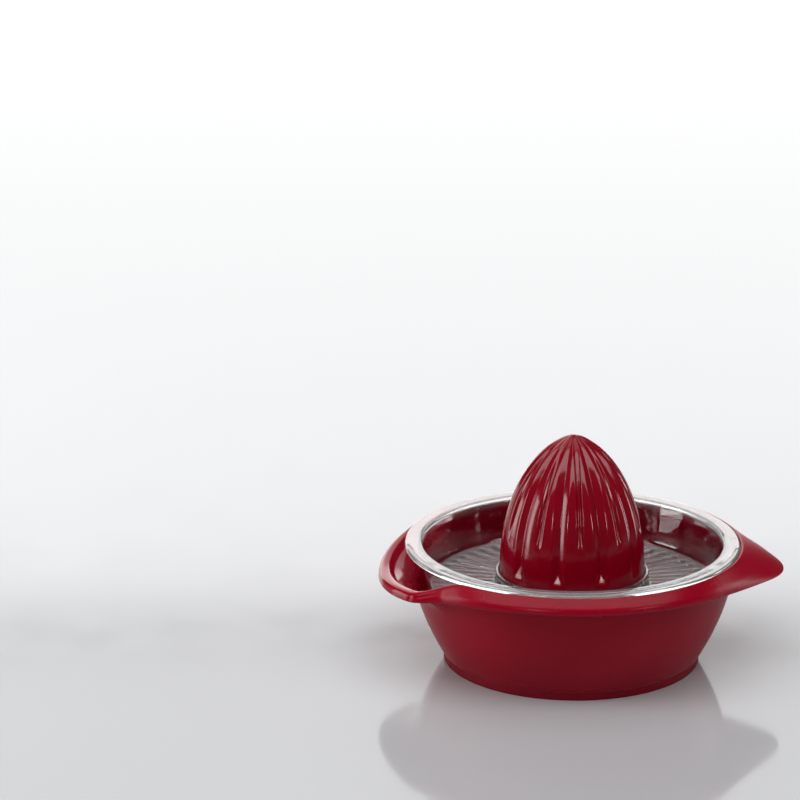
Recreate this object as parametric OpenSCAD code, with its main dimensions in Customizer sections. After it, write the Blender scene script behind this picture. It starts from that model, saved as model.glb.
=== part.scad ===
// Hand citrus juicer: a bowl with a pouring spout and a thumb handle, a soft foot ring under it,
// a clear strainer that lies on the bowl's ledge, and a fluted reamer over the strainer's hub.
// Millimetres. The origin is on the table, on the bowl's axis. +Z is up, the handle points to +X.

/* [Bowl] */
// Height of the ledge that carries the strainer
bowl_h = 55; // [48:0.5:70]
// Outer radius of the wall just above the foot
base_r = 60; // [50:0.5:66]
// Thickness of the wall
bowl_wall = 2; // [1.8:0.1:3]
// Thickness of the bottom
bowl_floor = 3; // [2:0.1:4]
// Radius of the inside corner between the floor and the wall
floor_round = 6; // [3:0.5:10]
// How far the wall swells past a straight line at mid-height
wall_swell = 3.6; // [0:0.1:5]

/* [Foot ring] */
// Height of the ring
foot_h = 3.5; // [2.5:0.1:6]
// Radial width of the ring
foot_w = 4; // [3:0.1:6]
// How far the bowl's bottom stays above the table
foot_stand = 1; // [0.6:0.1:2]

/* [Collar] */
// Width of the ledge under the strainer's rim
ledge_w = 3.5; // [3.3:0.1:7]
// Height of the collar's top edge above the ledge
collar_lip = 1.8; // [0.4:0.1:2.4]
// Width of the collar's top edge
collar_land = 2; // [0.5:0.1:4]
// How far the collar leans out from its top to its lower edge, at the sides
collar_lean = 3; // [0.3:0.1:4]
// Drop from the ledge to the collar's lower edge, at the sides
collar_drop = 6.1; // [4:0.1:8]
// Drop from the ledge to the root of the collar's underside
collar_root = 3.4; // [3:0.1:3.8]
// Thickness of the collar's down-turned skirt
skirt_t = 2.2; // [1.8:0.1:3]

/* [Handle] */
// How far the handle reaches past the collar
handle_out = 15.6; // [10:0.2:24]
// Radius of the handle's tip, seen from above
handle_tip_r = 30; // [20:0.5:45]
// How far the tip hangs below the collar's lower edge
handle_droop = 4.7; // [0:0.1:9]

/* [Spout] */
// How far the lip reaches past the collar
spout_out = 7.2; // [5:0.2:14]
// Half angle of the lip's full reach, seen from above
spout_lip_angle = 32; // [15:1:34]
// Half angle where the lip leaves the collar's outline
spout_bulge_angle = 43; // [37:1:46]
// Half angle where the ledge starts to open into the spout
spout_open_angle = 51; // [47:1:65]
// How far the lip hangs below the collar's lower edge
spout_droop = 9; // [5:0.2:12]
// Height above the bowl's floor where the wall starts to flare into the spout
spout_root = 29; // [16:0.5:30]
// How far below that the inside starts to open into the spout
throat_drop = 2; // [0:0.5:3]
// Height of the lip's outer face
lip_h = 4.6; // [3.6:0.1:6]
// Thickness of the lip
lip_t = 2.6; // [1.4:0.1:4]
// Width of the hollow curve from the spout's floor up to the lip
lip_round = 3; // [1:0.1:5]

/* [Strainer] */
// Inner radius of the rim
opening_r = 70.6; // [60:0.2:80]
// Thickness of the rim
rim_t = 2.1; // [1.6:0.1:3]
// Width of the rim's rounded outer edge
rim_round = 0.8; // [0.5:0.1:3]
// Thickness of the strainer's wall
strainer_wall = 1.4; // [1.2:0.1:2.4]
// Gap between the strainer's wall and the bowl's ledge
pour_gap = 2.7; // [1:0.1:6]
// Depth of the floor below the ledge
strainer_depth = 18.2; // [12:0.2:24]
// How far the wall leans in from the rim to the floor
strainer_lean = 3; // [1:0.1:6]
// Radius of the outer corner between the wall and the floor
strainer_corner = 5; // [2.8:0.1:6]
// Radius of the inner corner between the wall and the floor
strainer_fillet = 2.4; // [1:0.1:4]
// Thickness of the floor
floor_t = 2; // [1.6:0.1:3]
// Number of slots in the floor
slot_count = 56; // [30:1:60]
// Width of a slot at its inner end
slot_in_w = 1.7; // [1.2:0.1:2]
// Width of a slot at its outer end
slot_out_w = 3.4; // [2:0.1:3.6]
// Plain floor left at both ends of a slot
slot_margin = 1.5; // [1:0.1:5]

/* [Reamer seat] */
// Thickness of the ring round the reamer's foot
ring_t = 1.6; // [1.2:0.1:3]
// Height of that ring above the floor
ring_h = 6.1; // [4:0.1:10]
// Radius of the hub inside the reamer
hub_r = 20; // [14:0.5:24]
// Height of the hub above the floor
hub_h = 15; // [10:0.5:20]
// How far the hub tapers from its foot to its top
hub_draft = 1.5; // [0.5:0.1:3]
// Number of ribs on the hub that stop the reamer turning
rib_count = 5; // [2, 5]
// Width of a rib
rib_w = 10; // [6:0.5:11]

/* [Reamer] */
// Radius of the reamer's foot
reamer_r = 34; // [28:0.2:40]
// Height of the reamer
reamer_h = 72.2; // [55:0.2:85]
// Height of the plain ring at its foot
reamer_foot_h = 2.8; // [1:0.1:6]
// Thickness of the shell
reamer_wall = 3; // [2.4:0.1:4]
// Thickness at the tip
reamer_tip_t = 6; // [4:0.5:10]
// Number of long grooves
groove_count = 10; // [6:1:12]
// Depth of a long groove
groove_depth = 2.6; // [1:0.1:3]
// Width of a long groove
groove_w = 5.4; // [4:0.1:8]
// Height above the foot where the long grooves run out
groove_end = 7; // [4:0.5:12]
// Height above the foot where the short grooves run out
short_groove_end = 23; // [15:0.5:40]
// Turn of the grooves about the axis
groove_turn = 4; // [0:1:36]

/* [Fits] */
// Gap round the strainer's rim
rim_gap = 0.4; // [0.3:0.05:0.8]
// Gap between the foot ring and the bowl's bottom
foot_gap = 0.1; // [0.05:0.05:0.3]
// Gap round the reamer's foot and round the hub's ribs
reamer_gap = 0.4; // [0.3:0.05:0.8]
// Width of the tab under the rim that stops the strainer turning
tab_w = 9; // [5:0.5:10]
// Radial length of that tab
tab_l = 1.8; // [1.2:0.1:2]
// Height of that tab
tab_h = 1.2; // [0.8:0.1:1.4]
// Gap round the tab in its notch
tab_gap = 0.4; // [0.3:0.05:0.8]

/* [Hidden] */
$fn = 96;

red = [0.52, 0.03, 0.10];
deep_red = [0.40, 0.03, 0.09];
clear = [0.90, 0.91, 0.92, 0.45];

// Radii of the rim, its ledge and the collar, from the inside out
wall_top_r = opening_r + strainer_wall;
ledge_r = wall_top_r + pour_gap;
rim_r = ledge_r + ledge_w;
rebate_r = rim_r + rim_gap;
collar_top_r = rebate_r + collar_land;
collar_r = collar_top_r + collar_lean;
collar_top_z = bowl_h + collar_lip;

// Bowl
floor_z = foot_stand + bowl_floor;
corner_z = floor_z + floor_round;
bowl_top_r = ledge_r + bowl_wall;
plug_r = base_r - foot_w - foot_gap;
edge_round = 0.6;
flare_z = floor_z + spout_root;
throat_z = flare_z - throat_drop;
skirt_root_z = bowl_h - collar_root;

// Shape of the collar's crown, of its sweep down to the handle and the spout, and of the spout's flare
crown_out = 0.54;
crown_drop = 0.4;
handle_sweep = 2.9;
spout_sweep = 3.3;
spout_flare = 0.9;
throat_flare = 0.72;

// Strainer
rim_z = bowl_h + rim_t;
mesh_z = bowl_h - strainer_depth;
basket_r = opening_r - strainer_lean;
ring_in_r = reamer_r + reamer_gap;
ring_out_r = ring_in_r + ring_t;
cut_over = 1;

// Reamer
cone_h = reamer_h - reamer_foot_h;
cone_fullness = 2.44;
cone_roundness = 0.667;
groove_pitch = 360 / groove_count;
groove_full_r = 20;
short_groove_depth = 2.1;

// Tab under the rim and its notch in the ledge
tab_r = ledge_r + tab_gap;
notch_r = tab_r + tab_l + tab_gap;
notch_z = bowl_h - tab_h - tab_gap;
notch_angle = asin((tab_w / 2 + tab_gap) / ledge_r);
notch_side_angle = 1;
notch_draft = 0.05;

function smooth(x) = let (u = min(1, max(0, x))) u * u * (3 - 2 * u);
function mix(a, b, s) = a * (1 - s) + b * s;
function bend(a, b, c, u) = a * (1 - u) * (1 - u) + b * 2 * u * (1 - u) + c * u * u;
function arc(centre, r, from, to) =
    [for (k = [0 : 6]) let (a = mix(from, to, k / 6)) centre + r * [cos(a), sin(a)]];

// Solid whose outline [r, z] changes with the angle. It runs from the axis at z1 to the axis at z2.
module turned_loft(angles, outlines, z1, z2) {
    n = len(angles);
    m = len(outlines[0]);
    rings = [
        for (j = [0 : n - 1]) for (p = outlines[j])
            [p[0] * cos(angles[j]), p[0] * sin(angles[j]), p[1]]
    ];
    sides = [
        for (j = [0 : n - 1]) for (k = [0 : m - 2])
            let (a = j * m + k, b = (j + 1) % n * m + k)
                each [[a, a + 1, b + 1], [a, b + 1, b]]
    ];
    ends = [
        for (j = [0 : n - 1])
            let (a = j * m, b = (j + 1) % n * m)
                each [[n * m, a, b], [a + m - 1, n * m + 1, b + m - 1]]
    ];
    polyhedron(concat(rings, [[0, 0, z1], [0, 0, z2]]), concat(sides, ends), convexity = 8);
}

// Outer radius of the bowl's wall at height z
function wall_r(z) =
    let (t = (z - foot_h) / (bowl_h - foot_h))
        mix(base_r, bowl_top_r, t) + 4 * wall_swell * t * (1 - t);

// Angles from the axis of the handle and of the spout
function from_handle(angle) = angle > 180 ? 360 - angle : angle;
function from_spout(angle) = 180 - from_handle(angle);

// Plan radius of the handle: a straight tangent from the collar's circle to the round tip
function handle_r(a) =
    let (centre = collar_r + handle_out - handle_tip_r)
    let (leave = acos((collar_r - handle_tip_r) / centre))
    let (join = atan2(handle_tip_r * sin(leave), centre + handle_tip_r * cos(leave)))
        a >= leave ? collar_r
        : a >= join ? collar_r / cos(a - leave)
        : centre * cos(a) + sqrt(pow(handle_tip_r, 2) - pow(centre * sin(a), 2));

// Lower edge of the collar, handle and spout
function spout_bulge(a) = smooth((spout_bulge_angle - a) / (spout_bulge_angle - spout_lip_angle));
function spout_open(a) = smooth((spout_open_angle - a) / (spout_open_angle - spout_lip_angle));
function edge_r(angle) =
    angle > 90 && angle < 270 ? collar_r + spout_out * spout_bulge(from_spout(angle))
    : handle_r(from_handle(angle));
function edge_z(angle) =
    let (lean = abs(cos(angle)), on_spout = angle > 90 && angle < 270)
    let (drop = on_spout ? spout_droop * pow(lean, spout_sweep) : handle_droop * pow(lean, handle_sweep))
        bowl_h - collar_drop - drop;

// Outline of the upper bowl where the collar is closed
function closed_outline(angle) =
    let (edge = [edge_r(angle), edge_z(angle)], top = [collar_top_r, collar_top_z])
    let (crown = [mix(top[0], edge[0], crown_out), mix(top[1], edge[1], crown_drop)])
    let (in_notch = from_handle(angle) < notch_angle + notch_side_angle / 2)
        concat(
            [for (s = [0.3, 0.65, 1]) let (z = mix(flare_z, skirt_root_z, s)) [wall_r(z), z]],
            [
                bend(top, crown, edge, 0.5) - skirt_t * [cos(45), sin(45)],
                edge - [skirt_t, 0],
                edge - [edge_round, 0],
                edge + [0, edge_round]
            ],
            [for (u = [0.8, 0.55, 0.3, 0]) bend(top, crown, edge, u)],
            [
                [rebate_r, collar_top_z],
                [rebate_r, bowl_h],
                [notch_r, bowl_h],
                [notch_r - notch_draft, in_notch ? notch_z : bowl_h],
                [ledge_r, in_notch ? notch_z : bowl_h]
            ],
            [for (s = [0.7, 0.45, 0.2]) let (z = mix(throat_z, bowl_h, s)) [wall_r(z) - bowl_wall, z]]
        );

// Outline of the upper bowl in the spout: the wall flares out to the lip
function spout_outline(angle) =
    let (edge = [edge_r(angle), edge_z(angle)])
    let (lip = [max(edge[0] - lip_t, rebate_r), edge[1] + lip_h])
    let (shelf = [lip[0] - lip_round, edge[1] + bowl_wall])
    let (root = [wall_r(flare_z), flare_z], neck = [wall_r(throat_z) - bowl_wall, throat_z])
    let (steep = (wall_r(flare_z + 1) - root[0]) * [1, 0] + [0, 1])
    let (under = root + steep * spout_flare * (edge[1] - flare_z))
    let (inside = neck + steep * throat_flare * (shelf[1] - throat_z))
    let (lip_out = [max(edge[0] - edge_round, lip[0] + edge_round), lip[1]])
        concat(
            [for (u = [0.3, 0.6, 0.8, 0.92]) bend(root, under, edge - [2 * edge_round, 0], u)],
            [edge - [2 * edge_round, 0], edge - [edge_round, 0], edge + [0, edge_round]],
            [for (u = [0.3, 0.55, 0.8, 1]) mix(edge + [0, edge_round], lip_out, u)],
            [lip],
            [for (u = [0.35, 0.7]) bend(lip, [shelf[0] + edge_round, shelf[1]], shelf, u)],
            [for (u = [1, 0.8, 0.6, 0.4, 0.2]) bend(neck, inside, shelf, u)]
        );

// Whole outline of the bowl, from the middle of its bottom round to the middle of its floor
function bowl_outline(angle) =
    let (open = angle > 90 && angle < 270 ? spout_open(from_spout(angle)) : 0)
    let (a = closed_outline(angle), b = spout_outline(angle))
    let (wall_foot = [wall_r(corner_z) - bowl_wall, corner_z])
    let (floor_edge = wall_foot - floor_round * [1, 1], corner = [wall_foot[0], floor_z])
        concat(
            [[plug_r, foot_stand], [plug_r, foot_h]],
            [for (s = [0, 0.25, 0.5, 0.75, 1]) let (z = mix(foot_h, flare_z, s)) [wall_r(z), z]],
            [for (i = [0 : len(a) - 1]) mix(a[i], b[i], open)],
            [for (s = [1, 0.5, 0]) let (z = mix(corner_z, throat_z, s)) [wall_r(z) - bowl_wall, z]],
            [for (u = [0.35, 0.65, 1]) bend(wall_foot, corner, floor_edge, u)]
        );

module bowl() {
    first = notch_angle + notch_side_angle;
    steps = 80;
    spread = [for (k = [0 : steps]) mix(first, 360 - first, k / steps)];
    angles = concat([0, notch_angle], spread, [360 - notch_angle]);
    color(red) turned_loft(angles, [for (a = angles) bowl_outline(a)], foot_stand, floor_z);
}

module foot_ring() {
    inner_r = plug_r + foot_gap;
    chamfer = 0.5;
    color(deep_red)
        rotate_extrude()
            polygon([
                [inner_r, 0],
                [base_r - chamfer, 0],
                [base_r, chamfer],
                [base_r, foot_h],
                [inner_r, foot_h]
            ]);
}

// Half of the strainer's cut face, from the rim in to the hub
module strainer_face() {
    hub_top = mesh_z + hub_h;
    under_z = mesh_z - floor_t;
    out_corner = [basket_r + strainer_wall, under_z] + strainer_corner * [-1, 1];
    in_corner = [basket_r, mesh_z] + strainer_fillet * [-1, 1];
    rim_edge = [
        for (a = [0 : 15 : 90])
            [rim_r - rim_round * (1 - cos(a)), bowl_h + edge_round + (rim_t - edge_round) * sin(a)]
    ];
    polygon(concat(
        [
            [0, hub_top - floor_t],
            [hub_r - hub_draft - strainer_wall, hub_top - floor_t],
            [hub_r - strainer_wall, under_z]
        ],
        arc(out_corner, strainer_corner, -90, 0),
        [[wall_top_r, bowl_h], [rim_r, bowl_h]],
        rim_edge,
        [[opening_r + edge_round, rim_z], [opening_r, rim_z - edge_round]],
        arc(in_corner, strainer_fillet, 0, -90),
        [
            [ring_out_r, mesh_z],
            [ring_out_r, mesh_z + ring_h - ring_t / 3],
            [ring_out_r - ring_t / 3, mesh_z + ring_h],
            [ring_in_r + ring_t / 3, mesh_z + ring_h],
            [ring_in_r, mesh_z + ring_h - ring_t / 3],
            [ring_in_r, mesh_z],
            [hub_r, mesh_z],
            [hub_r - hub_draft, hub_top],
            [0, hub_top]
        ]
    ));
}

// One slot through the floor, with round ends
module slot() {
    r1 = ring_out_r + slot_margin + slot_in_w / 2;
    r2 = basket_r - slot_margin - slot_out_w / 2;
    translate([0, 0, mesh_z - floor_t - cut_over])
        linear_extrude(floor_t + 2 * cut_over) {
            polygon([
                [r1, -slot_in_w / 2],
                [r2, -slot_out_w / 2],
                [r2, slot_out_w / 2],
                [r1, slot_in_w / 2]
            ]);
            translate([r1, 0]) circle(d = slot_in_w);
            translate([r2, 0]) circle(d = slot_out_w);
        }
}

// Ribs on the hub, each between two of the reamer's long grooves
module hub_ribs() {
    rib_h = hub_h - hub_draft;
    room = cavity_r(rib_h) - reamer_gap;
    reach = sqrt(pow(room, 2) - pow(rib_w / 2, 2));
    start = hub_r - hub_draft - strainer_wall / 2;
    for (k = [0 : rib_count - 1])
        rotate(groove_turn + (floor(k * groove_count / rib_count) + 0.5) * groove_pitch)
            translate([start, -rib_w / 2, mesh_z - floor_t / 2])
                cube([reach - start, rib_w, rib_h + floor_t / 2]);
}

module strainer() {
    color(clear) {
        difference() {
            rotate_extrude() strainer_face();
            for (k = [0 : slot_count - 1]) rotate((k + 0.5) * 360 / slot_count) slot();
        }
        hub_ribs();
        translate([tab_r, -tab_w / 2, bowl_h - tab_h]) cube([tab_l, tab_w, tab_h + rim_t / 2]);
    }
}

// Smooth outside of the reamer and of its hollow, at height h above its foot
function dome_r(r, top, h) =
    let (share = max(0, h - reamer_foot_h) / (top - reamer_foot_h))
        r * pow(max(0, 1 - pow(share, cone_fullness)), cone_roundness);
function cavity_r(h) = dome_r(reamer_r - reamer_wall, reamer_h - reamer_tip_t, h);

// Depth of a V groove at an angle from its middle, on a dome of radius r
function groove(r, angle, depth) =
    let (half = max(0.01, min(groove_w / 2, r * PI / groove_count / 2)))
    let (off = abs(angle) * PI / 180 * r)
        depth * min(1, r / groove_full_r) * max(0, 1 - off / half);
function long_groove(r, angle, h) =
    groove(r, angle, groove_depth) * smooth((h - groove_end) / groove_end);
function short_groove(r, angle, h) =
    groove(r, groove_pitch / 2 - abs(angle), short_groove_depth)
    * smooth((h - short_groove_end) / short_groove_end);

// Outline of the reamer at an angle from a long groove: down the hollow from its top, then up the outside
function reamer_outline(angle) =
    let (tops = [for (k = [1 : 7]) sin(90 * (1 - k / 7))])
    let (heights = [for (k = [0 : 16]) sin(90 * k / 17)])
        concat(
            [
                for (u = tops)
                    let (h = u * (reamer_h - reamer_tip_t), r = cavity_r(h))
                        [r - long_groove(r, angle, h), mesh_z + h]
            ],
            [[reamer_r - edge_round, mesh_z], [reamer_r, mesh_z + edge_round]],
            [
                for (u = heights)
                    let (h = reamer_foot_h + u * cone_h, r = dome_r(reamer_r, reamer_h, h))
                        [r - long_groove(r, angle, h) - short_groove(r, angle, h), mesh_z + h]
            ]
        );

module reamer() {
    steps = 8;
    half = steps / 2;
    places = [0 : groove_count * steps - 1];
    angles = [for (i = places) i / steps * groove_pitch];
    folded = [for (i = places) (half - abs(half - i % steps)) / steps * groove_pitch];
    color(red)
        rotate(groove_turn)
            turned_loft(
                angles,
                [for (a = folded) reamer_outline(a)],
                mesh_z + reamer_h - reamer_tip_t,
                mesh_z + reamer_h
            );
}

bowl();
foot_ring();
strainer();
reamer();
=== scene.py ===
"""Looks of the hand citrus juicer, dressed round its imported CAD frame.

Lengths are in millimetres and angles in degrees. Shares and spans are parts of a line or a bend.
"""

import math

import bmesh
import bpy
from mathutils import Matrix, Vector


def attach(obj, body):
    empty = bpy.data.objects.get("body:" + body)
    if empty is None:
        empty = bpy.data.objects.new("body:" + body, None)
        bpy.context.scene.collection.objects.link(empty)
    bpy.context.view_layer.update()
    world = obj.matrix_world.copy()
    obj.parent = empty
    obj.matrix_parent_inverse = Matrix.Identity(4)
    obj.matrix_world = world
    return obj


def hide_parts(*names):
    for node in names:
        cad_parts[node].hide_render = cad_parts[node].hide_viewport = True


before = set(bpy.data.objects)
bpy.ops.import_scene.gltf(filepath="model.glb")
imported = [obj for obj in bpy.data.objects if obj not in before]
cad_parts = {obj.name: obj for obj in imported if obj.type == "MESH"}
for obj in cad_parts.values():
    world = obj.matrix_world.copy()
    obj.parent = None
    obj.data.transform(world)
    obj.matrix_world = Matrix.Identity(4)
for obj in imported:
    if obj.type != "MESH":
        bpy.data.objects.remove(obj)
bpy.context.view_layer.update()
MM = 0.001

# Bowl and collar
BOWL_H = 55.0
BASE_R = 60.0
BOWL_WALL = 2.0
BOWL_FLOOR = 3.0
FLOOR_ROUND = 6.0
WALL_SWELL = 3.6
FOOT_H = 3.5
FOOT_W = 4.0
FOOT_STAND = 1.0
FOOT_GAP = 0.1
LEDGE_W = 3.5
COLLAR_LIP = 1.2
COLLAR_LAND = 1.0
COLLAR_LEAN = 4.0
COLLAR_DROP = 6.1
COLLAR_ROOT = 3.4
SKIRT_T = 2.2
COLLAR_OUT = 0.92
COLLAR_FALL = 0.6
SLOPE_SHARES = (0.4, 0.6, 0.8, 0.92)
EDGE_ROUND = 0.6
COLLAR_ROUND = 1.6
BROW_ROUND = 1.2
TOP_ROUND = 0.3
REBATE_ROUND = 0.7
LEDGE_ROUND = 0.4
ROOT_ROUND = 0.8
UNDER_ROUND = 1.0
SKIRT_ROUND = 0.5
PLUG_ROUND = 0.5
FOOT_IN_ROUND = 0.5
FOOT_OUT_ROUND = 0.6
SEAM_ROUND = 0.12
COLLAR_POLISH = 0.35
COLLAR_STAND = 1.0
SLACK = 0.1

# Handle and spout
HANDLE_OUT = 15.6
HANDLE_TIP_R = 30.0
HANDLE_DROOP = 4.7
HANDLE_SWEEP = 2.9
HANDLE_SPREAD = 50.0
HANDLE_ROUND = 0.5
CROWN_OUT = 0.54
CROWN_DROP = 0.4
HUMP_SPAN = (0.93, 0.1)
SPOUT_OUT = 7.2
SPOUT_LIP_ANGLE = 32.0
SPOUT_BULGE_ANGLE = 43.0
SPOUT_OPEN_ANGLE = 51.0
SPOUT_DROOP = 9.0
SPOUT_SWEEP = 3.3
SPOUT_FLARE = 0.9
SPOUT_ROOT = 29.0
THROAT_DROP = 2.0
THROAT_FLARE = 0.72
FLARE_SPAN = (0.09, 0.97)
THROAT_SPAN = (1.0, 0.14)
LIP_H = 4.6
LIP_T = 5.0
LIP_ROUND = 3.0
LIP_FACE = 0.3
LIP_ROLL = 0.65
LIP_CORNER = 0.2
LIP_HOLLOW = 0.35
LIP_SPAN = (0.3, 0.9)

# Strainer
OPENING_R = 70.6
RIM_T = 2.1
RIM_ROUND = 0.8
RIM_GAP = 0.4
STRAINER_WALL = 1.4
POUR_GAP = 2.7
STRAINER_DEPTH = 18.2
STRAINER_LEAN = 3.0
STRAINER_CORNER = 5.0
STRAINER_CORNER_TURN = 66.0
STRAINER_FILLET = 2.4
FLOOR_T = 2.0
SLOT_COUNT = 56
SLOT_IN_W = 1.7
SLOT_OUT_W = 3.4
SLOT_MARGIN = 1.5
SLOT_END_GAP = 0.3
SLOT_ROUND = 0.7
RING_T = 1.6
RING_H = 6.1
RING_ROUND = 0.4 * RING_T
RING_IN_FILLET = 0.3
RING_OUT_FILLET = 0.5
RING_MARGIN = 0.6
HUB_R = 20.0
HUB_H = 15.0
HUB_DRAFT = 1.5
HUB_ROUND = 0.6
RIB_COUNT = 5
RIB_W = 10.0
RIB_ROUND = 0.3
RIB_TOP = 0.97
RIB_SECTOR = 30.0
TAB_W = 9.0
TAB_L = 1.8
TAB_H = 1.2
TAB_GAP = 0.4
TAB_INSET = 0.4
NOTCH_MARGIN = 0.5
NOTCH_SLANT = 0.05
SEAT_LIFT = 0.06
SEAT_ROUND = 0.3
NECK_FILLET = 0.5
FILLET_MIDDLE = 0.3
QUARTERS = (0.25, 0.5, 0.75)
THIRDS = (0.35, 0.7)

# Reamer
REAMER_R = 34.0
REAMER_H = 72.2
REAMER_FOOT_H = 2.8
REAMER_WALL = 3.0
REAMER_TIP_T = 6.0
REAMER_GAP = 0.4
CONE_FULLNESS = 2.44
CONE_ROUNDNESS = 0.667
GROOVE_COUNT = 10
GROOVE_DEPTH = 2.0
GROOVE_W = 6.6
GROOVE_END = 8.5
GROOVE_RAMP = 0.3
GROOVE_RAMP_ROUND = 0.2
GROOVE_FLOOR_ROUND = 0.3
GROOVE_LIP_ROUND = 0.2
GROOVE_LIP_SINK = 0.2
GROOVE_LEAST_HALF = 0.01
SHORT_GROOVE_DEPTH = 1.5
SHORT_GROOVE_W = 3.2
SHORT_GROOVE_FLOOR = 1.5
SHORT_GROOVE_END = 23.0
SHORT_GROOVE_FADE = 11.5
HOLLOW_GROOVE_DEPTH = 2.6
HOLLOW_GROOVE_W = 5.4
HOLLOW_GROOVE_END = 7.0
GROOVE_TURN = 4.0
GROOVE_FULL_R = 20.0
GROOVE_SATIN = 0.6

# Radii and heights that follow from these
WALL_TOP_R = OPENING_R + STRAINER_WALL
LEDGE_R = WALL_TOP_R + POUR_GAP
RIM_R = LEDGE_R + LEDGE_W
REBATE_R = RIM_R + RIM_GAP
COLLAR_TOP_R = REBATE_R + COLLAR_LAND
COLLAR_R = COLLAR_TOP_R + COLLAR_LEAN
COLLAR_TOP_Z = BOWL_H + COLLAR_LIP
FLOOR_Z = FOOT_STAND + BOWL_FLOOR
CORNER_Z = FLOOR_Z + FLOOR_ROUND
PLUG_R = BASE_R - FOOT_W - FOOT_GAP
FLARE_Z = FLOOR_Z + SPOUT_ROOT
THROAT_Z = FLARE_Z - THROAT_DROP
SKIRT_ROOT_Z = BOWL_H - COLLAR_ROOT
RIM_Z = BOWL_H + RIM_T
MESH_Z = BOWL_H - STRAINER_DEPTH
UNDER_Z = MESH_Z - FLOOR_T
BASKET_R = OPENING_R - STRAINER_LEAN
RING_IN_R = REAMER_R + REAMER_GAP
RING_OUT_R = RING_IN_R + RING_T
HUB_TOP_Z = MESH_Z + HUB_H
RIB_H = HUB_H - HUB_DRAFT
TAB_R = LEDGE_R + TAB_GAP
NOTCH_R = TAB_R + TAB_L + TAB_GAP
NOTCH_Z = BOWL_H - TAB_H - TAB_GAP
NOTCH_ANGLE = math.degrees(math.asin((TAB_W / 2 + TAB_GAP) / LEDGE_R))


def smooth(x):
    """Rises from 0 to 1 as x does, level at both ends."""
    u = min(1.0, max(0.0, x))
    return u * u * (3 - 2 * u)


def mix(a, b, s):
    """Value at the share s of the way from a to b."""
    return a * (1 - s) + b * s


def bend(a, b, c, u):
    """Point at u on the curve from a to c that leaves and arrives towards b."""
    return a * ((1 - u) * (1 - u)) + b * (2 * u * (1 - u)) + c * (u * u)


def along(a, b, shares):
    """Points at some shares of the way from a to b."""
    return [mix(a, b, u) for u in shares]


def curve(a, b, c, shares):
    """Points at some shares of the bend from a to c."""
    return [bend(a, b, c, u) for u in shares]


def point(r, z):
    """Point of an outline: radius and height."""
    return Vector((r, z))


def steps(n, first=0.0, last=1.0):
    """n + 1 even values from first to last."""
    return [first + (last - first) * k / n for k in range(n + 1)]


def corner(before, at, after, size, n):
    """n + 1 points that round the corner at a point, starting size away from it."""
    start = at + (before - at).normalized() * size
    end = at + (after - at).normalized() * size
    return curve(start, at, end, steps(n))


def arc(centre, r, first, last, n):
    """n + 1 points on a circle, between two angles in degrees."""
    angles = [math.radians(a) for a in steps(n, first, last)]
    return [centre + point(r * math.cos(a), r * math.sin(a)) for a in angles]


class Shell:
    """Points and faces of one piece, gathered before its mesh is made."""

    def __init__(self):
        self.points = []
        self.faces = []

    def add(self, points):
        """Adds points and returns their numbers."""
        first = len(self.points)
        self.points.extend(points)
        return list(range(first, len(self.points)))

    def join(self, a, b):
        """Faces between two closed loops of the same length."""
        n = len(a)
        for i in range(n):
            j = (i + 1) % n
            self.faces.append((a[i], a[j], b[j], b[i]))

    def close(self, loop, centre):
        """Faces from a loop to a new point at its centre."""
        [pole] = self.add([centre])
        n = len(loop)
        for i in range(n):
            self.faces.append((loop[i], loop[(i + 1) % n], pole))

    def turn(self, angles, outlines):
        """Rings of points for outlines of [r, z], one outline at each angle. Returns the rings in order."""
        rings = []
        for k in range(len(outlines[0])):
            ring = []
            for angle, outline in zip(angles, outlines):
                r, z = outline[k]
                a = math.radians(angle)
                ring.append((r * math.cos(a), r * math.sin(a), z))
            rings.append(self.add(ring))
        for a, b in zip(rings, rings[1:]):
            self.join(a, b)
        return rings


def make_piece(name, shell, material, sharp_angle):
    """Mesh object from a shell, smooth but for edges sharper than the angle."""
    mesh = bpy.data.meshes.new(name)
    mesh.from_pydata([Vector(p) * MM for p in shell.points], [], shell.faces)
    work = bmesh.new()
    work.from_mesh(mesh)
    bmesh.ops.recalc_face_normals(work, faces=work.faces)
    work.to_mesh(mesh)
    work.free()
    mesh.shade_smooth()
    mesh.set_sharp_from_angle(angle=math.radians(sharp_angle))
    mesh.materials.append(material)
    piece = bpy.data.objects.new(name, mesh)
    bpy.context.scene.collection.objects.link(piece)
    return piece


def paint(piece, name, values):
    """Gives each point of a piece a value that its material reads by name."""
    layer = piece.data.attributes.new(name, "FLOAT", "POINT")
    layer.data.foreach_set("value", values)


def dress(piece, body, node):
    """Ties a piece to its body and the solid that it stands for."""
    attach(piece, body)
    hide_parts(node)


# Materials

NOISE_LOW = 0.3
NOISE_HIGH = 0.7


def add_node(tree, kind, **inputs):
    """New shader node with some inputs set or linked."""
    made = tree.nodes.new(kind)
    for name, value in inputs.items():
        socket = made.inputs[name.replace("_", " ")]
        if isinstance(value, bpy.types.NodeSocket):
            tree.links.new(value, socket)
        else:
            socket.default_value = value
    return made


def new_material(name):
    """New material with its node tree and shader."""
    material = bpy.data.materials.new(name)
    material.use_nodes = True
    tree = material.node_tree
    return material, tree, tree.nodes["Principled BSDF"]


def noise(tree, place, scale, detail=3.0):
    """Noise value at each place, about 0.3 to 0.7."""
    return add_node(tree, "ShaderNodeTexNoise", Vector=place, Scale=scale, Detail=detail).outputs["Fac"]


def spread(tree, value, low, high, low_in=NOISE_LOW, high_in=NOISE_HIGH):
    """A value spread over a range: low at low_in, high at high_in."""
    made = add_node(tree, "ShaderNodeMapRange", Value=value)
    made.inputs["From Min"].default_value = low_in
    made.inputs["From Max"].default_value = high_in
    made.inputs["To Min"].default_value = low
    made.inputs["To Max"].default_value = high
    return made.outputs["Result"]


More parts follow.
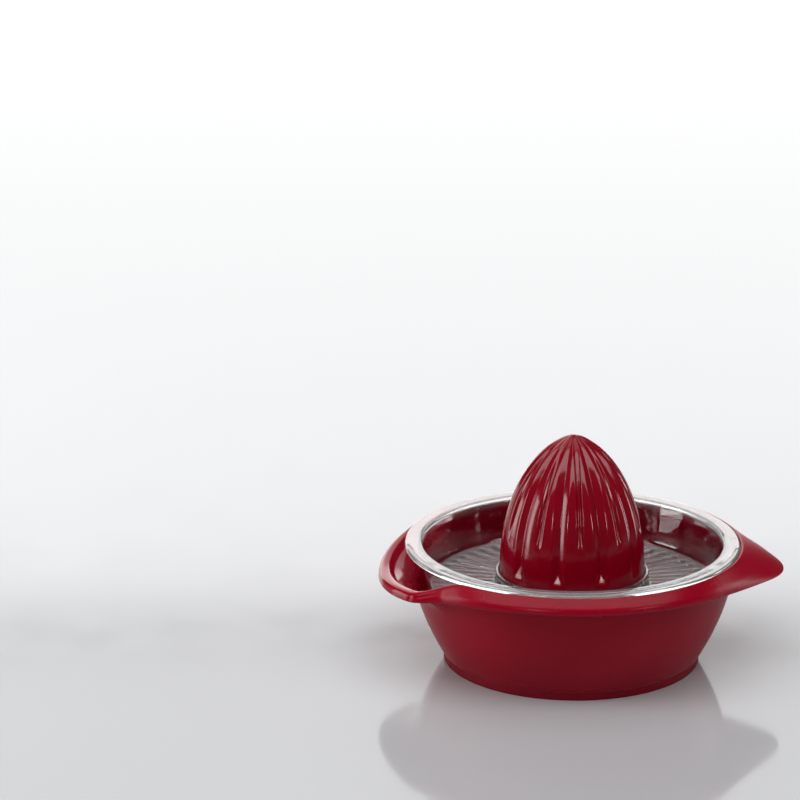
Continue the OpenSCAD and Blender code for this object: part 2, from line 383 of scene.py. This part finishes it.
def tint(tree, value, dark, light):
    """Colour between two close shades, by a noise value."""
    ramp = tree.nodes.new("ShaderNodeValToRGB")
    ramp.color_ramp.elements[0].position = NOISE_LOW
    ramp.color_ramp.elements[1].position = NOISE_HIGH
    ramp.color_ramp.elements[0].color = (*dark, 1)
    ramp.color_ramp.elements[1].color = (*light, 1)
    tree.links.new(value, ramp.inputs["Fac"])
    return ramp.outputs["Color"]


def shades(colour, drift):
    """A darker and a lighter shade of a colour."""
    return [c * (1 - drift) for c in colour], [c * (1 + drift) for c in colour]


def red_plastic(name, colour, rough, polished_rough, bump, specular):
    """Moulded red plastic. The attribute polish, from 0 to 1, makes it glossier."""
    material, tree, shader = new_material(name)
    place = tree.nodes.new("ShaderNodeTexCoord").outputs["Object"]
    cloud = noise(tree, place, scale=28.0)
    grain = noise(tree, place, scale=1900.0, detail=2.0)
    wear = noise(tree, place, scale=160.0, detail=4.0)
    polish = add_node(tree, "ShaderNodeAttribute")
    polish.attribute_name = "polish"
    dark, light = shades(colour, drift=0.06)
    tree.links.new(tint(tree, cloud, dark, light), shader.inputs["Base Color"])
    dull = spread(tree, wear, rough * 0.92, rough * 1.08)
    shiny = spread(tree, wear, polished_rough * 0.85, polished_rough * 1.2)
    blend = add_node(tree, "ShaderNodeMapRange", Value=polish.outputs["Fac"])
    tree.links.new(dull, blend.inputs["To Min"])
    tree.links.new(shiny, blend.inputs["To Max"])
    tree.links.new(blend.outputs["Result"], shader.inputs["Roughness"])
    relief = add_node(tree, "ShaderNodeBump", Height=grain, Strength=bump, Distance=0.00002)
    tree.links.new(relief.outputs["Normal"], shader.inputs["Normal"])
    shader.inputs["IOR"].default_value = 1.49
    shader.inputs["Specular IOR Level"].default_value = specular
    return material


def soft_rubber(name, colour):
    """Matt rubber with a fine grain."""
    material, tree, shader = new_material(name)
    place = tree.nodes.new("ShaderNodeTexCoord").outputs["Object"]
    cloud = noise(tree, place, scale=60.0)
    grain = noise(tree, place, scale=2600.0)
    dark, light = shades(colour, drift=0.1)
    tree.links.new(tint(tree, cloud, dark, light), shader.inputs["Base Color"])
    tree.links.new(spread(tree, grain, low=0.52, high=0.68), shader.inputs["Roughness"])
    relief = add_node(tree, "ShaderNodeBump", Height=grain, Strength=0.35, Distance=0.00004)
    tree.links.new(relief.outputs["Normal"], shader.inputs["Normal"])
    shader.inputs["IOR"].default_value = 1.5
    shader.inputs["Specular IOR Level"].default_value = 0.15
    return material


def clear_plastic(name, colour, rough, ior, shade, milk):
    """Polished clear plastic that lets some lamplight through. The attribute haze makes it milky."""
    material, tree, shader = new_material(name)
    place = tree.nodes.new("ShaderNodeTexCoord").outputs["Object"]
    flow = noise(tree, place, scale=45.0, detail=2.0)
    wear = noise(tree, place, scale=420.0, detail=4.0)
    shader.inputs["Base Color"].default_value = (*colour, 1)
    haze = add_node(tree, "ShaderNodeAttribute")
    haze.attribute_name = "haze"
    clarity = spread(tree, haze.outputs["Fac"], low=1.0, high=1.0 - milk, low_in=0.0, high_in=1.0)
    tree.links.new(clarity, shader.inputs["Transmission Weight"])
    shader.inputs["IOR"].default_value = ior
    tree.links.new(spread(tree, wear, rough * 0.6, rough * 1.6), shader.inputs["Roughness"])
    relief = add_node(tree, "ShaderNodeBump", Height=flow, Strength=0.12, Distance=0.0004)
    tree.links.new(relief.outputs["Normal"], shader.inputs["Normal"])
    path = tree.nodes.new("ShaderNodeLightPath")
    through = add_node(tree, "ShaderNodeBsdfTransparent", Color=(shade, shade, shade, 1))
    either = tree.nodes.new("ShaderNodeMixShader")
    tree.links.new(path.outputs["Is Shadow Ray"], either.inputs[0])
    tree.links.new(shader.outputs["BSDF"], either.inputs[1])
    tree.links.new(through.outputs["BSDF"], either.inputs[2])
    tree.links.new(either.outputs["Shader"], tree.nodes["Material Output"].inputs["Surface"])
    return material


BOWL_RED = (0.285, 0.0007, 0.013)
REAMER_RED = (0.23, 0.0006, 0.009)
# The foot ring is the same red as the bowl. Its colour is darkened as painted shade, because its upright
# face catches more light than the wall above.
FOOT_RED_PAINTED_SHADE = (0.18, 0.0006, 0.01)
CLEAR_WHITE = (0.82, 0.82, 0.825)
bowl_red = red_plastic(
    "red_satin_plastic", BOWL_RED, rough=0.34, polished_rough=0.1, bump=0.25, specular=0.15
)
reamer_red = red_plastic(
    "red_gloss_plastic", REAMER_RED, rough=0.12, polished_rough=0.1, bump=0.06, specular=0.5
)
# Rubber for the foot ring, in the red darkened as painted shade
foot_red_painted_shade = soft_rubber("red_rubber", FOOT_RED_PAINTED_SHADE)
clear = clear_plastic("clear_plastic", CLEAR_WHITE, rough=0.03, ior=1.53, shade=0.26, milk=0.16)


# Bowl

def wall_r(z):
    """Outer radius of the bowl's wall at a height."""
    t = (z - FOOT_H) / (BOWL_H - FOOT_H)
    return mix(BASE_R, LEDGE_R + BOWL_WALL, t) + 4 * WALL_SWELL * t * (1 - t)


def wall_points(heights, inset=0.0):
    """Points on the bowl's outer wall, or a little inside it."""
    return [point(wall_r(z) - inset, z) for z in heights]


def from_handle(angle):
    """Degrees from the middle of the handle."""
    return 360 - angle if angle > 180 else angle


def from_spout(angle):
    """Degrees from the middle of the spout."""
    return 180 - from_handle(angle)


def on_spout(angle):
    """Whether an angle lies on the spout's half of the bowl."""
    return 90 < angle < 270


def handle_r(a):
    """Plan radius of the handle: a straight tangent from the collar's circle to the round tip."""
    centre = COLLAR_R + HANDLE_OUT - HANDLE_TIP_R
    leave = math.acos((COLLAR_R - HANDLE_TIP_R) / centre)
    join = math.atan2(HANDLE_TIP_R * math.sin(leave), centre + HANDLE_TIP_R * math.cos(leave))
    a = math.radians(a)
    if a >= leave:
        return COLLAR_R
    if a >= join:
        return COLLAR_R / math.cos(a - leave)
    return centre * math.cos(a) + math.sqrt(HANDLE_TIP_R ** 2 - (centre * math.sin(a)) ** 2)


def spout_open(angle):
    """How far the ledge is opened into the spout, from 0 to 1."""
    if not on_spout(angle):
        return 0.0
    return smooth((SPOUT_OPEN_ANGLE - from_spout(angle)) / (SPOUT_OPEN_ANGLE - SPOUT_LIP_ANGLE))


def lower_edge(angle):
    """Lower edge of the collar, the handle or the spout."""
    lean = abs(math.cos(math.radians(angle)))
    if on_spout(angle):
        room = SPOUT_BULGE_ANGLE - SPOUT_LIP_ANGLE
        r = COLLAR_R + SPOUT_OUT * smooth((SPOUT_BULGE_ANGLE - from_spout(angle)) / room)
        drop = SPOUT_DROOP * lean ** SPOUT_SWEEP
    else:
        r = handle_r(from_handle(angle))
        drop = HANDLE_DROOP * lean ** HANDLE_SWEEP
    return point(r, BOWL_H - COLLAR_DROP - drop)


def closed_outline(angle):
    """Upper bowl where the collar is closed, from the outer wall over the collar to the inner wall."""
    edge = lower_edge(angle)
    top = point(COLLAR_TOP_R, COLLAR_TOP_Z)
    plain = smooth(from_handle(angle) / HANDLE_SPREAD)
    crown = point(mix(top.x, edge.x, CROWN_OUT), mix(top.y, edge.y, CROWN_DROP))
    brow = point(mix(top.x, edge.x, COLLAR_OUT), mix(top.y, edge.y, COLLAR_FALL))
    slope = corner(edge, brow, top, BROW_ROUND, 4) + along(brow, top, SLOPE_SHARES)
    hump = curve(top, crown, edge, steps(8, *HUMP_SPAN))
    ledge_z = NOTCH_Z if from_handle(angle) < NOTCH_ANGLE + NOTCH_MARGIN else BOWL_H
    outer = wall_points(steps(7, FLARE_Z, SKIRT_ROOT_Z)[1:])
    root = outer.pop()
    under = bend(top, crown, edge, 0.5) - point(SKIRT_T, SKIRT_T) * math.sqrt(0.5)
    skirt = edge - point(SKIRT_T, 0)
    rise = [mix(a, b, plain) for a, b in zip(hump, slope)]
    rebate = point(REBATE_R, COLLAR_TOP_Z)
    ledge = point(LEDGE_R, ledge_z)
    inner = wall_points(steps(7, BOWL_H, THROAT_Z)[1:-1], BOWL_WALL)
    return (
        outer
        + corner(outer[-1], root, under, ROOT_ROUND, 4)
        + corner(root, under, skirt, UNDER_ROUND, 4)
        + corner(under, skirt, edge, SKIRT_ROUND, 3)
        + corner(skirt, edge, rise[0], mix(HANDLE_ROUND, COLLAR_ROUND, plain), 4)
        + rise
        + corner(rise[-1], top, rebate, TOP_ROUND, 3)
        + corner(top, rebate, point(REBATE_R, BOWL_H), REBATE_ROUND, 5)
        + [point(REBATE_R, BOWL_H), point(NOTCH_R, BOWL_H), point(NOTCH_R - NOTCH_SLANT, ledge_z)]
        + corner(point(NOTCH_R, ledge_z), ledge, inner[0], LEDGE_ROUND, 3)
        + inner
    )


def spout_outline(angle):
    """Upper bowl in the spout, where the wall flares to the lip. As many points as in closed_outline."""
    edge = lower_edge(angle)
    lip = point(max(edge.x - LIP_T, REBATE_R), edge.y + LIP_H)
    shelf = point(lip.x - LIP_ROUND, edge.y + BOWL_WALL)
    root = point(wall_r(FLARE_Z), FLARE_Z)
    neck = point(wall_r(THROAT_Z) - BOWL_WALL, THROAT_Z)
    steep = point(wall_r(FLARE_Z + 1) - root.x, 1)
    under = root + steep * (SPOUT_FLARE * (edge.y - FLARE_Z))
    inside = neck + steep * (THROAT_FLARE * (shelf.y - THROAT_Z))
    lip_out = point(max(edge.x - EDGE_ROUND, lip.x + EDGE_ROUND), lip.y)
    below = edge - point(2 * EDGE_ROUND, 0)
    above = edge + point(0, EDGE_ROUND)
    face = mix(above, lip_out, LIP_FACE)
    hollow = point(shelf.x + EDGE_ROUND, shelf.y)
    low = bend(lip, hollow, shelf, LIP_HOLLOW)
    return (
        curve(root, under, below, steps(16, *FLARE_SPAN)[:-1])
        + along(below, edge - point(EDGE_ROUND, 0), steps(3))
        + corner(below, edge, lip_out, EDGE_ROUND, 4)
        + along(above, face, steps(4))
        + curve(face, lip_out, mix(lip_out, lip, LIP_ROLL), steps(7))
        + corner(lip_out, lip, low, LIP_CORNER * (lip_out.x - lip.x), 5)
        + curve(lip, hollow, shelf, steps(6, *LIP_SPAN))
        + curve(neck, inside, shelf, steps(6, *THROAT_SPAN)[:-1])
    )


def bowl_outline(angle):
    """Whole outline of the bowl, from its bottom round to its floor."""
    opened = spout_open(angle)
    a = closed_outline(angle)
    b = spout_outline(angle) if opened > 0 else a
    wall_foot = point(wall_r(CORNER_Z) - BOWL_WALL, CORNER_Z)
    floor_edge = wall_foot - point(FLOOR_ROUND, FLOOR_ROUND)
    foot = point(BASE_R, FOOT_H)
    plug = point(PLUG_R, FOOT_STAND)
    seat = point(PLUG_R, FOOT_H)
    low_wall = wall_points(steps(14, FOOT_H, FLARE_Z)[1:])
    return (
        [point(PLUG_R * 0.5, FOOT_STAND)]
        + corner(point(0, FOOT_STAND), plug, seat, PLUG_ROUND, 3)
        + [seat]
        + corner(seat, foot, low_wall[0], SEAM_ROUND, 4)
        + low_wall
        + [mix(p, q, opened) for p, q in zip(a, b)]
        + wall_points(steps(10, THROAT_Z, CORNER_Z), BOWL_WALL)
        + curve(wall_foot, point(wall_foot.x, FLOOR_Z), floor_edge, steps(8)[1:])
        + [floor_edge * 0.5 + point(0, FLOOR_Z * 0.5)]
    )


def make_bowl():
    """One column of points per degree, with two moved to each side of the notch in the ledge."""
    angles = [float(a) for a in range(360)]
    side = math.ceil(NOTCH_ANGLE)
    for k in (0, 1):
        angles[side + k] = NOTCH_ANGLE + k
        angles[360 - side - k] = 360 - (NOTCH_ANGLE + k)
    outlines = [bowl_outline(a) for a in angles]
    shell = Shell()
    rings = shell.turn(angles, outlines)
    shell.close(rings[0], (0, 0, FOOT_STAND))
    shell.close(rings[-1], (0, 0, FLOOR_Z))
    piece = make_piece("bowl_shell", shell, bowl_red, sharp_angle=50)
    polish = []
    for x, y, z in shell.points:
        angle = math.degrees(math.atan2(y, x)) % 360
        inside = math.hypot(x, y) < wall_r(z) - BOWL_WALL / 2 or z < FLOOR_Z
        spout = smooth(spout_open(angle) * 2 - 1) if z > lower_edge(angle).y - SLACK else 0.0
        plain = smooth(from_handle(angle) / HANDLE_SPREAD)
        collar = COLLAR_POLISH * plain if math.hypot(x, y) > wall_r(z) + COLLAR_STAND else 0.0
        polish.append(1.0 if inside else max(spout, collar))
    paint(piece, "polish", polish)
    dress(piece, "bowl", "bowl")


# Foot ring

def make_foot_ring():
    """Ring with rounded edges, turned from one outline."""
    inner_r = PLUG_R + FOOT_GAP
    corners = [point(inner_r, 0), point(BASE_R, 0), point(BASE_R, FOOT_H), point(inner_r, FOOT_H)]
    rounds = [FOOT_IN_ROUND, FOOT_OUT_ROUND, SEAM_ROUND, SEAM_ROUND]
    outline = []
    for k, size in enumerate(rounds):
        outline += corner(corners[k - 1], corners[k], corners[(k + 1) % 4], size, 4)
    angles = steps(360, 0, 360)[:-1]
    shell = Shell()
    rings = shell.turn(angles, [outline] * len(angles))
    shell.join(rings[-1], rings[0])
    piece = make_piece("foot_ring_soft", shell, foot_red_painted_shade, sharp_angle=50)
    dress(piece, "bowl", "foot_ring")


# Strainer

def rib_r(angle, reach):
    """Plan radius of the nearest rib on the hub, or 0 where there is none."""
    pitch = 360 / RIB_COUNT
    first = GROOVE_TURN + 180 / GROOVE_COUNT
    off = abs((angle - first + pitch / 2) % pitch - pitch / 2)
    if off > RIB_SECTOR:
        return 0.0
    a = math.radians(off)
    side = RIB_W / 2 / math.sin(a) if a > 0 else reach
    return min(reach / math.cos(a), side)


def hub_r(z):
    """Outer radius of the hub at a height."""
    return HUB_R - HUB_DRAFT * (z - MESH_Z) / HUB_H


def seat_outline(angle, end_r):
    """Top of the hub, its ribs, the floor under the reamer and the ring, out to the slotted floor."""
    room = cavity_r(RIB_H) - REAMER_GAP
    reach = math.sqrt(room ** 2 - (RIB_W / 2) ** 2)
    rib = rib_r(angle, reach)
    top = point(hub_r(HUB_TOP_Z), HUB_TOP_Z)
    rib_z = MESH_Z + RIB_H
    neck = point(hub_r(rib_z), rib_z)
    shoulder = point(max(rib, neck.x), rib_z)
    foot = point(max(rib, HUB_R), MESH_Z)
    below = shoulder - point(0, RIB_ROUND)
    fillet = HUB_ROUND if rib < HUB_R else RIB_ROUND
    middle = point(fillet * FILLET_MIDDLE, fillet * FILLET_MIDDLE)
    ring = [
        point(RING_IN_R, MESH_Z),
        point(RING_IN_R, MESH_Z + RING_H),
        point(RING_OUT_R, MESH_Z + RING_H),
        point(RING_OUT_R, MESH_Z),
    ]
    end = point(end_r, MESH_Z)
    return (
        [point(top.x * 0.5, HUB_TOP_Z)]
        + corner(point(0, HUB_TOP_Z), top, neck, HUB_ROUND, 4)
        + [neck, mix(neck, shoulder, RIB_TOP), below]
        + along(below, foot, THIRDS)
        + [foot + point(0, fillet), foot + middle, foot + point(fillet, 0)]
        + corner(foot, ring[0], ring[1], RING_IN_FILLET, 2)
        + corner(ring[0], ring[1], ring[2], RING_ROUND, 4)
        + corner(ring[1], ring[2], ring[3], RING_ROUND, 4)
        + corner(ring[2], ring[3], end, RING_OUT_FILLET, 3)
        + [end]
    )


def under_outline(end_r):
    """Underside of the slotted floor, in to the hollow of the hub."""
    foot = point(HUB_R - STRAINER_WALL, UNDER_Z)
    roof = point(HUB_R - HUB_DRAFT - STRAINER_WALL, HUB_TOP_Z - FLOOR_T)
    return (
        [point(end_r, UNDER_Z), point(mix(end_r, foot.x, 0.5), UNDER_Z)]
        + corner(point(end_r, UNDER_Z), foot, roof, HUB_ROUND, 3)
        + corner(foot, roof, point(0, roof.y), HUB_ROUND, 3)
        + [point(roof.x * 0.5, roof.y)]
    )


def rim_outline(angle, start_r):
    """From the slotted floor up the inner wall, over the rim and down the outer wall to the underside."""
    out_centre = point(BASKET_R + STRAINER_WALL - STRAINER_CORNER, UNDER_Z + STRAINER_CORNER)
    inner_top = point(OPENING_R, RIM_Z)
    outer_top = point(RIM_R - RIM_ROUND, RIM_Z)
    wall_in = point(BASKET_R, MESH_Z + STRAINER_FILLET)
    wall_out = point(BASKET_R + STRAINER_WALL, out_centre.y)
    seat_z = BOWL_H + SEAT_LIFT
    in_tab = from_handle(angle) < NOTCH_ANGLE - TAB_INSET
    tab_z = BOWL_H - TAB_H if in_tab else seat_z
    neck = point(WALL_TOP_R, seat_z)
    rim_edge = [
        point(
            RIM_R - RIM_ROUND * (1 - math.cos(a)),
            BOWL_H + EDGE_ROUND + (RIM_T - EDGE_ROUND) * math.sin(a),
        )
        for a in (math.radians(d) for d in steps(8, 90, 0))
    ]
    return (
        arc(point(start_r, MESH_Z + STRAINER_FILLET), STRAINER_FILLET, -90, 0, 8)
        + along(wall_in, inner_top, QUARTERS)
        + corner(wall_in, inner_top, outer_top, EDGE_ROUND, 5)
        + along(inner_top, outer_top, THIRDS)
        + rim_edge
        + corner(rim_edge[-1], point(RIM_R, seat_z), neck, SEAT_ROUND, 3)
        + [point(TAB_R + TAB_L, seat_z), point(TAB_R + TAB_L, tab_z)]
        + [point(TAB_R, tab_z), point(TAB_R, seat_z)]
        + corner(point(TAB_R, seat_z), neck, wall_out, NECK_FILLET, 3)
        + along(neck, wall_out, QUARTERS)
        + arc(out_centre, STRAINER_CORNER, 0, -STRAINER_CORNER_TURN, 8)
    )


def slot_loop(r1, r2, grow, ends, sides):
    """Outline of one slot along X with round ends, with as many points as a sector of the floor."""
    a = SLOT_IN_W / 2 + grow
    b = SLOT_OUT_W / 2 + grow
    turn = [math.radians(d) for d in steps(ends, 270, 90)]
    back = [math.radians(d) for d in steps(ends, 90, -90)]
    inner = [Vector((r1 + a * math.cos(t), a * math.sin(t))) for t in turn]
    outer = [Vector((r2 + b * math.cos(t), b * math.sin(t))) for t in back]
    up = along(inner[-1], outer[0], steps(sides)[1:-1])
    down = along(outer[-1], inner[0], steps(sides)[1:-1])
    return inner + up + outer + down


def make_strainer():
    """Seat, underside and rim as turned rings, joined by a floor of slotted sectors."""
    per_slot = 6
    sides = 10
    count = SLOT_COUNT * per_slot
    angles = steps(count, 0, 360)[:-1]
    floor_in = RING_OUT_R + RING_MARGIN
    floor_out = BASKET_R - STRAINER_FILLET
    shell = Shell()
    seat = shell.turn(angles, [seat_outline(a, floor_in) for a in angles])
    under = shell.turn(angles, [under_outline(floor_in)] * count)
    rim = shell.turn(angles, [rim_outline(a, floor_out) for a in angles])
    shell.close(seat[0], (0, 0, HUB_TOP_Z))
    shell.close(under[-1], (0, 0, HUB_TOP_Z - FLOOR_T))

    # Radial seams between the slots, shared by neighbouring sectors
    def seam(k, z):
        a = math.radians(angles[k * per_slot])
        radii = steps(sides, floor_in, floor_out)[1:-1]
        return shell.add([(r * math.cos(a), r * math.sin(a), z) for r in radii])

    tops = [seam(k, MESH_Z) for k in range(SLOT_COUNT)]
    bottoms = [seam(k, UNDER_Z) for k in range(SLOT_COUNT)]
    r1 = RING_OUT_R + SLOT_MARGIN + SLOT_IN_W / 2
    r2 = floor_out - SLOT_ROUND - SLOT_END_GAP - SLOT_OUT_W / 2
    turns = [math.radians(d) for d in steps(3, 0, 90)]
    edge = [(SLOT_ROUND * (1 - math.sin(t)), SLOT_ROUND * (1 - math.cos(t))) for t in turns]
    levels = [(slot_loop(r1, r2, grow, per_slot, sides), MESH_Z - drop) for grow, drop in edge]
    levels += [(slot_loop(r1, r2, grow, per_slot, sides), UNDER_Z + drop) for grow, drop in reversed(edge)]
    for k in range(SLOT_COUNT):
        after = (k + 1) % SLOT_COUNT
        turn = math.radians((k + 0.5) * 360 / SLOT_COUNT)
        loops = []
        for outline, z in levels:
            placed = []
            for x, y in outline:
                u = x * math.cos(turn) - y * math.sin(turn)
                v = x * math.sin(turn) + y * math.cos(turn)
                placed.append((u, v, z))
            loops.append(shell.add(placed))
        span = [(k * per_slot + i) % count for i in range(per_slot + 1)]

        def sector(inner, outer, seams):
            return (
                [inner[i] for i in span]
                + seams[after]
                + [outer[i] for i in reversed(span)]
                + list(reversed(seams[k]))
            )

        shell.join(sector(seat[-1], rim[0], tops), loops[0])
        for a, b in zip(loops, loops[1:]):
            shell.join(a, b)
        shell.join(loops[-1], sector(under[0], rim[-1], bottoms))
    piece = make_piece("strainer_clear", shell, clear, sharp_angle=40)
    haze = []
    for x, y, z in shell.points:
        grille = RING_OUT_R < math.hypot(x, y) < BASKET_R and z < MESH_Z + SLACK
        haze.append(float(grille or z > BOWL_H))
    paint(piece, "haze", haze)
    dress(piece, "strainer", "strainer")


# Reamer

def dome_r(r, top, h):
    """Radius at a height of a dome with foot radius r and the given top."""
    share = max(0.0, h - REAMER_FOOT_H) / (top - REAMER_FOOT_H)
    return r * max(0.0, 1 - share ** CONE_FULLNESS) ** CONE_ROUNDNESS


def cavity_r(h):
    """Radius of the reamer's hollow at a height, without its grooves."""
    return dome_r(REAMER_R - REAMER_WALL, REAMER_H - REAMER_TIP_T, h)


def soft_min(a, b, size):
    """The smaller of two values, with the bend between them rounded."""
    return (a + b - math.sqrt((a - b) ** 2 + size * size)) / 2


def groove(r, angle, depth, width, floor_w, floor_round, lip_round):
    """Depth of a groove with sloping sides at an angle from its middle, on a dome of radius r."""
    fit = min(1.0, r * math.pi / GROOVE_COUNT / width)
    half = max(GROOVE_LEAST_HALF, fit * width / 2)
    floor = fit * floor_w / 2
    full = depth * min(1.0, r / GROOVE_FULL_R)
    off = math.radians(abs(angle)) * r
    side = full * (half - off) / (half - floor)
    inside = soft_min(side, full, floor_round * fit)
    return max(0.0, -soft_min(-inside, 0.0, lip_round * fit) - lip_round * fit * GROOVE_LIP_SINK)


def long_groove(r, angle, h):
    """Groove with a V bottom that ends on a flat ramp at the foot."""
    cut = groove(r, angle, GROOVE_DEPTH, GROOVE_W, 0.0, GROOVE_FLOOR_ROUND, GROOVE_LIP_ROUND)
    return max(0.0, soft_min(cut, (h - GROOVE_END) * GROOVE_RAMP, GROOVE_RAMP_ROUND))


def short_groove(r, angle, h):
    """Narrow groove with a flat bottom between two long ones."""
    cut = groove(
        r, angle, SHORT_GROOVE_DEPTH, SHORT_GROOVE_W, SHORT_GROOVE_FLOOR,
        GROOVE_FLOOR_ROUND, GROOVE_LIP_ROUND,
    )
    return cut * smooth((h - SHORT_GROOVE_END) / SHORT_GROOVE_FADE)


def make_reamer():
    """Columns of points from the top of the hollow, down inside, round the foot and up the cone."""
    per_groove = 48
    rise = 100
    inner_rise = 30
    foot_points = 4
    count = GROOVE_COUNT * per_groove
    pitch = 360 / GROOVE_COUNT
    cone_h = REAMER_H - REAMER_FOOT_H
    heights = [REAMER_FOOT_H + cone_h * math.sin(math.pi / 2 * u) for u in steps(rise)[:-1]]
    inner_top = REAMER_H - REAMER_TIP_T
    inner_heights = [inner_top * math.sin(math.pi / 2 * u) for u in steps(inner_rise, 1, 0)[1:]]
    angles = []
    outlines = []
    finishes = []
    for i in range(count):
        angle = (i % per_groove) * pitch / per_groove
        off = min(angle, pitch - angle)
        angles.append(GROOVE_TURN + i * pitch / per_groove)
        outline = []
        finish = []
        for h in inner_heights:
            r = cavity_r(h)
            cut = groove(r, off, HOLLOW_GROOVE_DEPTH, HOLLOW_GROOVE_W, 0.0, 0.0, 0.0)
            cut *= smooth((h - HOLLOW_GROOVE_END) / HOLLOW_GROOVE_END)
            outline.append(point(r - cut, MESH_Z + h))
            finish.append(0.0)
        foot = point(REAMER_R, MESH_Z + SEAT_LIFT)
        cone_foot = point(REAMER_R, MESH_Z + REAMER_FOOT_H)
        outline += corner(outline[-1], foot, cone_foot, EDGE_ROUND, foot_points)
        finish += [1.0] * (foot_points + 1)
        for h in heights:
            r = dome_r(REAMER_R, REAMER_H, h)
            cut = long_groove(r, off, h) + short_groove(r, pitch / 2 - off, h)
            outline.append(point(r - cut, MESH_Z + h))
            finish.append(1 - smooth(cut / GROOVE_SATIN))
        outlines.append(outline)
        finishes.append(finish)

    # The inner edge of the foot is lifted off the strainer's floor, as its outer edge is
    for outline in outlines:
        outline[len(inner_heights) - 1].y += SEAT_LIFT
    shell = Shell()
    rings = shell.turn(angles, outlines)
    shell.close(rings[0], (0, 0, MESH_Z + inner_top))
    shell.close(rings[-1], (0, 0, MESH_Z + REAMER_H))
    piece = make_piece("reamer_cone", shell, reamer_red, sharp_angle=60)
    polish = [value for ring in zip(*finishes) for value in ring] + [0.0, 1.0]
    paint(piece, "polish", polish)
    dress(piece, "reamer", "reamer")


make_bowl()
make_foot_ring()
make_strainer()
make_reamer()


# Floor, lamps and camera, in metres

FLOOR_HALF = 5.0
FLOOR_GREY = (0.48, 0.483, 0.5)
AIM_FLOOR = (0.0, 0.0, 0.0)
AIM_BOWL = (0.0, 0.0, 0.05)
AIM_CONE = (0.0, 0.0, 0.08)
CAMERA_PLACE = (-0.0806, -1.7711, 0.6607)
CAMERA_TILT = 73.19
LAMP_ENERGY = 4.0


def make_floor():
    """Plain pale floor with a faint mirror."""
    mesh = bpy.data.meshes.new("floor")
    corners = [(x * FLOOR_HALF, y * FLOOR_HALF, 0) for x, y in ((-1, -1), (1, -1), (1, 1), (-1, 1))]
    mesh.from_pydata(corners, [], [(0, 1, 2, 3)])
    floor = bpy.data.objects.new("floor", mesh)
    bpy.context.scene.collection.objects.link(floor)
    material, tree, shader = new_material("floor_white")
    place = tree.nodes.new("ShaderNodeTexCoord").outputs["Object"]
    wear = noise(tree, place, scale=30.0)
    tree.links.new(spread(tree, wear, low=0.07, high=0.10), shader.inputs["Roughness"])
    shader.inputs["Base Color"].default_value = (*FLOOR_GREY, 1)
    shader.inputs["IOR"].default_value = 1.5
    mesh.materials.append(material)


def panel(name, place, aim, width, height, radiance):
    """Soft rectangular lamp. LAMP_ENERGY is the energy per area that gives its face a radiance of 1."""
    light = bpy.data.lights.new(name, "AREA")
    light.shape = "RECTANGLE"
    light.size = width
    light.size_y = height
    light.energy = radiance * LAMP_ENERGY * width * height
    lamp = bpy.data.objects.new(name, light)
    lamp.location = place
    lamp.rotation_euler = (Vector(aim) - Vector(place)).to_track_quat("-Z", "Y").to_euler()
    lamp.visible_camera = False
    bpy.context.scene.collection.objects.link(lamp)


make_floor()

# Broad panels behind, which the floor mirrors as white
panel("back_panel", (-1.2, 8.0, 1.43), (-1.2, 0.0, 1.43), width=6.6, height=2.86, radiance=2.0)
panel("high_panel", (-0.9, 6.0, 3.47), (-0.9, 0.0, 0.0), width=6.4, height=2.4, radiance=1.15)

# Stripes in the reamer's grooves and on the strainer's wall
panel("left_strip", (-0.9, -0.06, 0.22), AIM_CONE, width=0.34, height=0.44, radiance=4.4)
panel("right_strip", (0.86, 0.28, 0.13), AIM_CONE, width=0.12, height=0.26, radiance=5.0)
panel("left_glint", (-0.75, 0.42, 0.1), AIM_CONE, width=0.25, height=0.2, radiance=2.5)
panel("right_glint", (0.75, 0.42, 0.1), AIM_CONE, width=0.25, height=0.2, radiance=2.5)

# Glints at the feet of the reamer's grooves
panel("front_left_glint", (-0.609, -1.284, 0.53), AIM_BOWL, width=0.26, height=0.26, radiance=7.0)
panel("front_right_glint", (1.04, -1.0, 0.468), AIM_BOWL, width=0.26, height=0.26, radiance=7.0)

# Soft light from above
panel("front_panel", (0.0, -0.75, 1.8), AIM_BOWL, width=4.6, height=1.0, radiance=2.3)
panel("top_panel", (0.0, 0.4, 2.0), AIM_FLOOR, width=2.0, height=1.2, radiance=0.8)

scene = bpy.context.scene
world = bpy.data.worlds.new("studio")
scene.world = world
world.use_nodes = True
backdrop = world.node_tree.nodes["Background"]
backdrop.inputs["Color"].default_value = (1.0, 1.0, 1.0, 1)
backdrop.inputs["Strength"].default_value = 0.05

camera = bpy.data.cameras.new("photo_camera")
camera.sensor_width = 36.0
camera.lens = 180.0
viewer = bpy.data.objects.new("photo_camera", camera)
viewer.location = CAMERA_PLACE
viewer.rotation_euler = (math.radians(CAMERA_TILT), 0.0, 0.0)
scene.collection.objects.link(viewer)
scene.camera = viewer
scene.view_settings.view_transform = "Standard"
